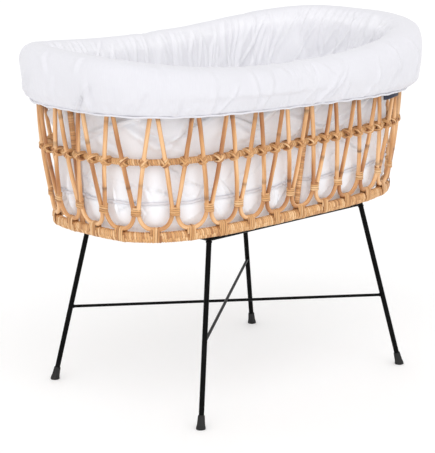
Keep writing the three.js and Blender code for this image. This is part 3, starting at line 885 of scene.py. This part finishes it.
# ---- Cloth ----
def cloth_object(name, grid, material, close_rows, close_columns, size, extra_faces=()):
    """A grid of cloth. Its UV map `cloth` holds its flat coordinates in metres: size is rows, columns."""
    rows, columns = grid.shape[:2]
    faces = grid_faces(rows, columns, close_rows, close_columns)
    piece = new_object(name, grid.reshape(-1, 3), faces.tolist() + list(extra_faces), material)
    mesh = piece.data
    layer = mesh.uv_layers.new(name="cloth")
    corner = np.empty(len(mesh.loops), dtype=np.int32)
    mesh.loops.foreach_get("vertex_index", corner)
    row, column = corner // columns, corner % columns
    starts = np.empty(len(mesh.polygons), dtype=np.int32)
    totals = np.empty(len(mesh.polygons), dtype=np.int32)
    mesh.polygons.foreach_get("loop_start", starts)
    mesh.polygons.foreach_get("loop_total", totals)
    face_of = np.repeat(np.arange(len(starts)), totals)
    for values, count, closed in ((row, rows, close_rows), (column, columns, close_columns)):
        if closed:
            spread = np.maximum.reduceat(values, starts) - np.minimum.reduceat(values, starts)
            over_seam = (spread > count / 2)[face_of]
            values[over_seam & (values < count / 2)] += count
    uv = np.stack([column / columns * size[1], row / rows * size[0]], -1)
    layer.data.foreach_set("uv", uv.astype(np.float32).ravel())
    return piece


def smooth_closed(rows, steps):
    """A smooth closed curve through rows of numbers, in so many steps from each to the next."""
    n = len(rows)
    t = np.linspace(0, n, n * steps, endpoint=False)
    i = np.floor(t).astype(int)
    f = (t - i)[:, None]
    before, start, end, after = (rows[(i + k) % n] for k in (-1, 0, 1, 2))
    return 0.5 * (
        2 * start
        + (end - before) * f
        + (2 * before - 5 * start + 4 * end - after) * f**2
        + (3 * start - before - 3 * end + after) * f**3
    )


def normals_of(grid):
    """The normals of a grid that is closed both ways."""
    down = np.roll(grid, -1, 0) - np.roll(grid, 1, 0)
    along = np.roll(grid, -1, 1) - np.roll(grid, 1, 1)
    return unit(np.cross(along, down))


def places_round(count):
    """Evenly spaced fractions of the way round, and their lengths along the base ring."""
    fraction = np.arange(count) / count
    return fraction, fraction * PERIMETER


def out_of(grid):
    """How far outside the base ring's centre line each point of a grid stands."""
    fraction, _ = places_round(grid.shape[1])
    out = (grid[..., :2] - outline(fraction)) * outward(fraction)[:, :2]
    return out.sum(-1)


def between(value, table):
    """Reads a table of millimetres at a value in metres."""
    at, result = np.array(table).T * MM
    return np.interp(value, at, result)


def cord(name, path, fraction, half_thick, half_wide, sides, girth, body):
    """A cloth cord that runs once round the basket."""
    grid = sweep(path, outward(fraction), half_thick, half_wide, sides, closed=True)
    piece = cloth_object(name, grid, COTTON, True, True, (PERIMETER, girth))
    declare(piece, body)
    return piece


def finer(grid, axis):
    """Twice as many points along a closed axis, by a smooth curve through the old ones."""
    before, after, beyond = np.roll(grid, 1, axis), np.roll(grid, -1, axis), np.roll(grid, -2, axis)
    middle = (9 * (grid + after) - before - beyond) / 16
    woven = np.stack([grid, middle], axis + 1)
    shape = list(grid.shape)
    shape[axis] *= 2
    return woven.reshape(shape)


def folds(along, down, count, seed, width, height, down_range, reach, slant, sharp=0.6, length=PERIMETER):
    """The height of soft creases scattered round a closed length. along and down say where, in metres.

    slant is how much the creases lean, and how much that differs between them.
    """
    random = np.random.RandomState(seed)
    total = np.zeros(np.broadcast(along, down).shape)
    for number in range(count):
        start = (number + 0.8 * (random.rand() - 0.5)) / count * length
        at_down = down_range[0] + (down_range[1] - down_range[0]) * random.rand()
        half = reach * (0.5 + 0.8 * random.rand())
        wide = width * (0.6 + 0.9 * random.rand())
        tall = height * (0.45 + 0.75 * random.rand())
        lean = slant[0] + slant[1] * random.randn()
        bend = 0.6 * random.randn()
        d = down - at_down
        sideways = along - start - lean * d - bend * d * np.abs(d) * 6
        sideways = sideways - length * np.round(sideways / length)
        window = np.exp(-((d / half) ** 4))
        crest = np.exp(-((sideways / wide) ** 2))
        trough = np.exp(-(((sideways - 1.5 * wide) / (0.8 * wide)) ** 2))
        total += tall * window * (crest - sharp * trough)
    return total


# The cuff's section in millimetres: how far outside the base ring, and how high above a level.
# "mixed" and "face" are shares of the way up, from the lining's top or from the hem to the rim.
BUMPER_SECTION = [
    (-13, "floor", 0), (-7, "floor", -1), (-1, "floor", 1), (5, "mixed", 0.5),
    (11, "rim", -8), (12.5, "rim", 7), (25, "rim", 8.5), (38, "rim", 7), (40, "rim", -2),
    (40.3, "face", 0.55), (40, "hem", 1), (42.5, "hem", -1), (46, "hem", 1.5), (53, "hem", 13),
    (60.5, "hem", 30), (65, "face", 0.62), (65.5, "rim", -14), (62, "rim", 6), (55, "rim", 19),
    (43, "rim", 28), (28, "rim", 31), (14, "rim", 26.5), (4, "rim", 15), (-4, "rim", -2),
    (-9, "mixed", 0.6), (-12.5, "mixed", 0.25),
]


def bumper_grid(columns, rows):
    """The plain padded cuff: rows go round its section and columns round the basket."""
    fraction, _ = places_round(columns)
    section = np.zeros((len(BUMPER_SECTION), columns, 3))
    for row, (out, kind, rise) in enumerate(BUMPER_SECTION):
        puff = HEAD_PUFF * smoothstep(outline(fraction)[:, 0], 0.15, 0.38) if out > 50 else 0.0
        place = wall(fraction, out * MM + puff, 0.0)
        rim, hem = rim_height(place), hem_height(place)
        place[:, 2] = {
            "floor": LINING_TOP + rise * MM,
            "hem": hem + rise * MM,
            "rim": rim + rise * MM,
            "face": hem + (rim - hem) * rise,
            "mixed": LINING_TOP + (rim - LINING_TOP) * rise,
        }[kind]
        section[row] = place
    dense = smooth_closed(section.reshape(len(section), -1), 24).reshape(-1, columns, 3)
    closed = np.concatenate([dense, dense[:1]])
    along = lengths_along(closed[:, 0])
    wanted = np.linspace(0, along[-1], rows, endpoint=False)
    lower = np.clip(np.searchsorted(along, wanted, side="right") - 1, 0, len(dense) - 1)
    part = ((wanted - along[lower]) / (along[lower + 1] - along[lower]))[:, None, None]
    return closed[lower] * (1 - part) + closed[lower + 1] * part


def blown_up(form, held, pressure, slack):
    """Where Blender's cloth simulation takes a form's points. held lists the points sewn in place."""
    form.vertex_groups.new(name="held").add(held.tolist(), 1.0, "REPLACE")
    cloth = form.modifiers.new("cloth", "CLOTH")
    settings = cloth.settings
    settings.quality = 5
    settings.mass = 0.2
    settings.tension_stiffness = 20
    settings.compression_stiffness = 20
    settings.shear_stiffness = 8
    settings.bending_stiffness = 0.05
    settings.air_damping = 3
    settings.use_pressure = True
    settings.uniform_pressure_force = pressure
    settings.shrink_min = -slack
    settings.vertex_group_mass = "held"
    settings.effector_weights.gravity = 0
    cloth.collision_settings.use_collision = False
    scene = bpy.context.scene
    for step in range(1, 21):
        scene.frame_set(step)
    moved = points_of(form.evaluated_get(bpy.context.evaluated_depsgraph_get()).to_mesh())
    scene.frame_set(1)
    form.modifiers.remove(cloth)
    form.vertex_groups.clear()
    return moved


def points_of(mesh):
    """The points of a mesh as an array."""
    points = np.empty(len(mesh.vertices) * 3, dtype=np.float32)
    mesh.vertices.foreach_get("co", points)
    return points.reshape(-1, 3).astype(float)


def capped(change, cap):
    """Displacements, with the long ones shortened to a cap."""
    length = np.linalg.norm(change, axis=-1, keepdims=True)
    return change * (cap / np.maximum(length, cap))


def simulated(grid, held, pressure, slack, cap, keep):
    """A closed cuff with the creases that a simulation puts into it, as much of them as keep says."""
    faces = grid_faces(grid.shape[0], grid.shape[1], True, True).tolist()
    form = new_object("cloth_form", grid.reshape(-1, 3), faces, COTTON)
    moved = blown_up(form, np.flatnonzero(held.ravel()), pressure, slack)
    bpy.data.objects.remove(form)
    change = moved.reshape(grid.shape) - grid
    waves_left_out = 11
    return grid + capped(change - slow_part(change, waves_left_out), cap) * keep[..., None]


def slow_part(values, waves):
    """What changes slowly along the closed columns: the first few waves round them."""
    spectrum = np.fft.rfft(values, axis=1)
    spectrum[:, waves:] = 0
    return np.fft.irfft(spectrum, values.shape[1], axis=1)


def crumpled(grid):
    """The cuff with simulated creases. It is sewn down along its channel for the rim and at its foot."""
    out = out_of(grid)
    channel = (out > 5 * MM) & (out < 47 * MM) & (grid[..., 2] < rim_height(grid) + 10 * MM)
    sewn = channel | (grid[..., 2] < LINING_TOP + 4 * MM)
    _, around = places_round(grid.shape[1])
    slackness = np.clip(0.5 + waver(around, 17, 1.6, 0.25, 0.7), 0.2, 1)
    keep = 0.25 + (0.5 * slackness - 0.25) * smoothstep(out, 10 * MM, 45 * MM)
    return simulated(grid, sewn, pressure=4.0, slack=0.06, cap=7 * MM, keep=keep)


def fine_folds(grid, out):
    """How far the cuff's cloth stands off: gathers inside it, creases and a puckered hem outside."""
    _, around = places_round(grid.shape[1])
    along = np.broadcast_to(around, grid.shape[:2])
    from_hem = grid[..., 2] - hem_height(grid)
    below_crest = rim_height(grid) + 30 * MM - grid[..., 2]
    fanned = along - 0.55 * smoothstep(grid[..., 0], 0.02, 0.34) * below_crest
    gathers = folds(
        fanned, below_crest, count=130, seed=11, width=4.6 * MM, height=3.4 * MM,
        down_range=(0.01, 0.08), reach=0.08, slant=(0.0, 0.1),
    )
    broad = folds(
        fanned, below_crest, count=24, seed=12, width=15 * MM, height=2.4 * MM,
        down_range=(0.03, 0.08), reach=0.08, slant=(0.05, 0.12), sharp=0.3,
    )
    face = folds(
        along, from_hem, count=46, seed=13, width=6.0 * MM, height=5.2 * MM,
        down_range=(0.0, 0.045), reach=0.038, slant=(0.5, 0.3),
    )
    crest = folds(
        along, from_hem, count=26, seed=15, width=7 * MM, height=2.8 * MM,
        down_range=(0.07, 0.1), reach=0.03, slant=(-0.4, 0.4),
    )
    pucker = folds(
        along, from_hem, count=170, seed=14, width=3.5 * MM, height=1.7 * MM,
        down_range=(0.0, 0.006), reach=0.014, slant=(0.0, 0.3),
    )
    above_foot = smoothstep(grid[..., 2], LINING_TOP - 0.002, LINING_TOP + 0.02)
    inside = smoothstep(-out, -0.030, -0.004) * above_foot
    outside = smoothstep(out, 0.042, 0.052)
    uneven = waver(around, 16, 3 * MM, 0.12, 0.5)[None, :] * smoothstep(out, 0.03, 0.06)
    return inside * (gathers + broad) + outside * (face + crest + pucker) + uneven


def make_bumper():
    """The padded cuff over the rim. Its inner side is painted paler, as painted light that lifts the shade
    inside the basket.
    """
    grid = finer(finer(crumpled(bumper_grid(440, 72)), 1), 0)
    out = out_of(grid)
    grid = grid + normals_of(grid) * fine_folds(grid, out)[..., None]
    piece = cloth_object("padded_bumper", grid, COTTON, True, True, (0.36, PERIMETER * 1.15))
    # Painted light: 1 on the cuff's inner side, which is made paler to lift the basket's shade.
    pale = smoothstep(-out, -0.026, 0.002).astype(np.float32)
    piece.data.attributes.new("pale", "FLOAT", "POINT").data.foreach_set("value", pale.ravel())
    declare(piece, "basket", "bumper")


def make_hem():
    """The thin rolled edge with the elastic in it."""
    fraction, along = places_round(900)
    path = wall(fraction, 45.0 * MM + waver(along, 21, 1.0 * MM, 0.03, 0.12), 0.0)
    path[:, 2] = hem_height(path) - 2.2 * MM + waver(along, 22, 1.6 * MM, 0.03, 0.11)
    half = 2.3 * MM * (1 + 0.16 * waver(along, 23, 1.0, 0.008, 0.02))
    cord("bumper_hem", path, fraction, half, half * 0.9, 12, 0.015, "basket")


# Millimetres: a height, and how far outside the base ring the lining's wall stands there.
LINING_WALL = [(392, -22), (410, -12), (450, -5), (500, -3), (545, -2), (580, 4), (610, 8), (650, 14)]
LINING_BEHIND_POSTS = [(392, -23), (402, -22.5), (545, -9.5), (610, -3), (650, 3)]
LINING_AT_MOST = [
    (390, -20), (402, -11), (420, 0), (500, 7), (535, 3.5), (555, 3.5), (600, 13), (650, 19),
]


def behind_posts(fraction, height):
    """1 where the lining's wall passes behind a post, and 0 away from the posts."""
    climb = (height - RING_HIGH[2]) / (RIM_HEIGHT - RING_HIGH[2])
    held = np.zeros_like(height)
    for base_fraction, rim_fraction, _, _ in POSTS.values():
        away = (fraction - base_fraction - (rim_fraction - base_fraction) * climb + 0.5) % 1.0 - 0.5
        held += np.exp(-(((away * PERIMETER) / 0.017) ** 4))
    return np.clip(held, 0, 1)


def lining_out(fraction, height):
    """The lining wall's shape: puffed between the canes low down, loose folds above the mid ring."""
    along = fraction * PERIMETER
    low = smoothstep(height, 0.398, 0.425) * (1 - smoothstep(height, 0.520, 0.546))
    high = smoothstep(height, 0.546, 0.575)
    cell = np.cos((fraction * LOOP_COUNT - LOOP_PHASE - 0.5) * 2 * math.pi) * 0.5 + 0.5
    puff = low * (cell * 5 - 1) * MM
    seam = -4 * MM * np.exp(-(((height - SEAM_HEIGHT) / 0.006) ** 2))
    small = folds(
        along, height, count=170, seed=31, width=3.4 * MM, height=3.4 * MM,
        down_range=(0.40, 0.53), reach=0.02, slant=(0.3, 1.3),
    )
    loose = folds(
        along, height, count=50, seed=32, width=12 * MM, height=8.0 * MM,
        down_range=(0.55, 0.63), reach=0.045, slant=(0.9, 1.3), sharp=0.7,
    )
    out = between(height, LINING_WALL) + puff + seam + small * low + (loose - 5 * MM) * high
    out = np.minimum(out, between(height, LINING_AT_MOST))
    behind = np.minimum(between(height, LINING_BEHIND_POSTS) - out, 0)
    return out + behind * behind_posts(fraction, height)


def make_lining():
    """The lining's wall and floor, and the corded seam round it."""
    columns, rows = 1100, 76
    fraction, _ = places_round(columns)
    fraction, height = np.broadcast_arrays(fraction, np.linspace(650 * MM, 392 * MM, rows)[:, None])
    grid = wall(fraction, lining_out(fraction, height), height)
    cloth = cloth_object("lining_wall", grid, LINING_PAINTED_LIGHT, False, True, (0.25, PERIMETER * 1.1))
    thicken(cloth, 1.6 * MM)
    declare(cloth, "basket", "lining")
    floor = make_lining_floor()
    piping = make_piping()


def thicken(piece, thickness):
    """Gives a sheet its thickness, half on each side."""
    modifier = piece.modifiers.new("thickness", "SOLIDIFY")
    modifier.thickness = thickness
    modifier.offset = 0


def make_lining_floor():
    """An oval on the base slats: rings that shrink from its edge, and a face in the middle."""
    columns, edge = 360, 24 * MM
    fraction, _ = places_round(columns)
    outs = np.concatenate([np.linspace(-200, -40, 26), [-30, -24]]) * MM
    rings = []
    for out in outs:
        shrink = 1 + (out + edge) / HALF_WIDTH
        inset = edge if shrink > 0.2 else 0.0
        ring = outline(fraction) * shrink - outward(fraction)[:, :2] * inset
        rings.append(np.concatenate([ring, np.full((columns, 1), 392.6 * MM)], 1))
    grid = np.array(rings)
    wrinkle = folds(
        grid[..., 0], grid[..., 1], count=30, seed=41, width=10 * MM, height=1.0 * MM,
        down_range=(-0.2, 0.2), reach=0.1, slant=(0.2, 0.6), length=2.0,
    )
    grid[..., 2] += np.clip(wrinkle, -0.8 * MM, 1.2 * MM)
    hub = [list(range(columns))[::-1]]
    piece = cloth_object("lining_floor", grid, LINING_PAINTED_LIGHT, False, True, (0.2, PERIMETER), hub)
    thicken(piece, 1.5 * MM)
    declare(piece, "basket")
    return piece


def make_piping():
    """The corded seam round the lining."""
    fraction, along = places_round(1100)
    height = SEAM_HEIGHT + waver(along, 51, 2.6 * MM, 0.04, 0.14)
    path = wall(fraction, lining_out(fraction, height) + 4.0 * MM, height)
    half = 2.6 * MM * (1 + 0.08 * waver(along, 52, 1.0, 0.01, 0.03))
    return cord("lining_piping", path, fraction, half, half, 10, 0.011, "basket")


def mattress_form(bottom, top):
    """The mattress before it is blown up: a rounded slab, a little small all round."""
    columns = 300
    fraction, _ = places_round(columns)
    section = [  # outside the base ring in millimetres, height
        (-60, top - 1 * MM), (-42, top - 2 * MM), (-35, top - 6 * MM), (-33, top - 14 * MM),
        (-33, bottom + 12 * MM), (-35, bottom + 4 * MM),
        (-42, bottom + 1.5 * MM), (-60, bottom + 1.5 * MM),
    ]
    grid = np.array([wall(fraction, out * MM, np.full(columns, height)) for out, height in section])
    faces = grid_faces(len(section), columns, False, True).tolist()
    last = (len(section) - 1) * columns
    faces += [list(range(columns))[::-1], [last + k for k in range(columns)]]
    form = new_object("mattress_pad", grid.reshape(-1, 3), faces, COTTON)
    remesh = form.modifiers.new("remesh", "REMESH")
    remesh.mode = "VOXEL"
    remesh.voxel_size = 6 * MM
    remesh.use_smooth_shade = True
    bake(form)
    return form


def bake(piece):
    """Puts what the modifiers make of a piece into its own mesh."""
    evaluated = piece.evaluated_get(bpy.context.evaluated_depsgraph_get())
    mesh = bpy.data.meshes.new_from_object(evaluated)
    piece.modifiers.clear()
    piece.data = mesh


def make_mattress():
    """A cotton pad, crowned on top and corded along its edges."""
    low, high = (np.array(corner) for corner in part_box("mattress"))
    bottom, top = low[2], high[2]
    piece = mattress_form(bottom, top)
    points = points_of(piece.data)
    crown = np.clip((points[:, 2] - bottom) / (top - bottom), 0, 1)
    under = np.flatnonzero(points[:, 2] < bottom + 5 * MM)
    points += capped(blown_up(piece, under, 4.0, 0.015) - points, 6 * MM)
    reach = np.hypot(points[:, 0] / 0.36, points[:, 1] / 0.18)
    points[:, 2] += crown * 3 * MM * np.clip(1 - reach**2, 0, 1)
    points[:, 2] = np.clip(points[:, 2], bottom + 0.4 * MM, top + 5 * MM)
    piece.data.vertices.foreach_set("co", points.astype(np.float32).ravel())
    smooth = piece.modifiers.new("smooth", "SMOOTH")
    smooth.iterations = 3
    piece.modifiers.new("finer", "SUBSURF").levels = 1
    bake(piece)
    flat_uv(piece)
    declare(piece, "mattress", "mattress")
    for name, height in (("mattress_top_cord", top - 5 * MM), ("mattress_bottom_cord", bottom + 5 * MM)):
        make_mattress_cord(name, height)


def flat_uv(piece):
    """Lays cloth coordinates straight down onto a piece, with its height folded in for the sides."""
    mesh = piece.data
    points = points_of(mesh)
    corner = np.empty(len(mesh.loops), dtype=np.int32)
    mesh.loops.foreach_get("vertex_index", corner)
    uv = points[corner][:, :2] + points[corner][:, 2:]
    mesh.uv_layers.new(name="cloth").data.foreach_set("uv", uv.astype(np.float32).ravel())


def make_mattress_cord(name, height):
    """The cord sewn round an edge of the mattress, at a height."""
    fraction, along = places_round(700)
    out = -32.2 * MM + waver(along, 71, 0.5 * MM, 0.05, 0.2)
    path = wall(fraction, out, height + waver(along, 72, 0.6 * MM, 0.05, 0.2))
    cord(name, path, fraction, 1.9 * MM, 1.9 * MM, 10, 0.012, "mattress")


def make_label():
    """A plain folded tab with nothing on it, hanging from the hem."""
    low, high = (np.array(corner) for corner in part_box("label_tab"))
    centre = np.float64(0.127)
    width, rows, columns = 62 * MM, 14, 34
    across = np.linspace(-0.5, 0.5, columns)[None, :] * width
    drop = np.linspace(0, 1, rows)[:, None]
    fraction = centre + across / PERIMETER
    out = 39.0 * MM + 1.2 * MM * np.sin(across / width * 4 + drop * 1.5)
    height = high[2] - 2 * MM - (high[2] - low[2]) * drop * 1.15 + 0.6 * MM * np.sin(across * 90)
    grid = wall(fraction, out, height)
    piece = cloth_object("plain_label_tab", grid, LABEL, False, False, (0.016, width))
    thicken(piece, 1.1 * MM)
    declare(piece, "basket", "label_tab")


# ---- Stage, light and camera ----
def make_stage():
    """A wide pale floor under a white world."""
    size = 40.0
    mesh = bpy.data.meshes.new("floor")
    corners = [(-size, -size, 0), (size, -size, 0), (size, size, 0), (-size, size, 0)]
    mesh.from_pydata(corners, [], [(0, 1, 2, 3)])
    floor = bpy.data.objects.new("floor", mesh)
    mesh.materials.append(floor_material())
    bpy.context.scene.collection.objects.link(floor)
    world = bpy.data.worlds.new("studio")
    world.use_nodes = True
    background = world.node_tree.nodes["Background"]
    background.inputs["Color"].default_value = (1.0, 1.0, 1.0, 1)
    background.inputs["Strength"].default_value = 0.86
    bpy.context.scene.world = world


def make_lights():
    """One broad, very soft light from the front left. The white world fills the rest."""
    data = bpy.data.lights.new("soft_key", "SUN")
    data.energy, data.angle = 1.0, math.radians(75)
    light = bpy.data.objects.new("soft_key", data)
    light.rotation_euler = Vector((0.5, 0.62, -0.6)).to_track_quat("-Z", "Y").to_euler()
    bpy.context.scene.collection.objects.link(light)


def make_camera():
    """A long lens from the front left, a little above the basket."""
    azimuth, elevation, roll = (math.radians(angle) for angle in (-43.306, 13.251, -0.807))
    distance, target = 3.989, Vector((-0.01475, 0.01391, 0.32965))
    level_back = Vector((math.sin(azimuth), -math.cos(azimuth), 0))
    back = level_back * math.cos(elevation) + Vector((0, 0, math.sin(elevation)))
    level_right = Vector((math.cos(azimuth), math.sin(azimuth), 0))
    level_up = back.cross(level_right)
    right = level_right * math.cos(roll) + level_up * math.sin(roll)
    up = level_up * math.cos(roll) - level_right * math.sin(roll)
    data = bpy.data.cameras.new("camera")
    data.lens, data.sensor_width = 145.7, 36.0
    data.clip_end = 200
    camera = bpy.data.objects.new("camera", data)
    place = target + back * distance
    turn = Matrix((right, up, back)).transposed().to_4x4()
    camera.matrix_world = Matrix.Translation(place) @ turn
    bpy.context.scene.collection.objects.link(camera)
    bpy.context.scene.camera = camera


make_camera()
make_lights()
make_stage()
make_stand()
make_loops()
make_rings()
make_bindings()
make_posts()
make_slats()
make_bumper()
make_hem()
make_lining()
make_mattress()
make_label()
bpy.context.scene.view_settings.view_transform = "Standard"
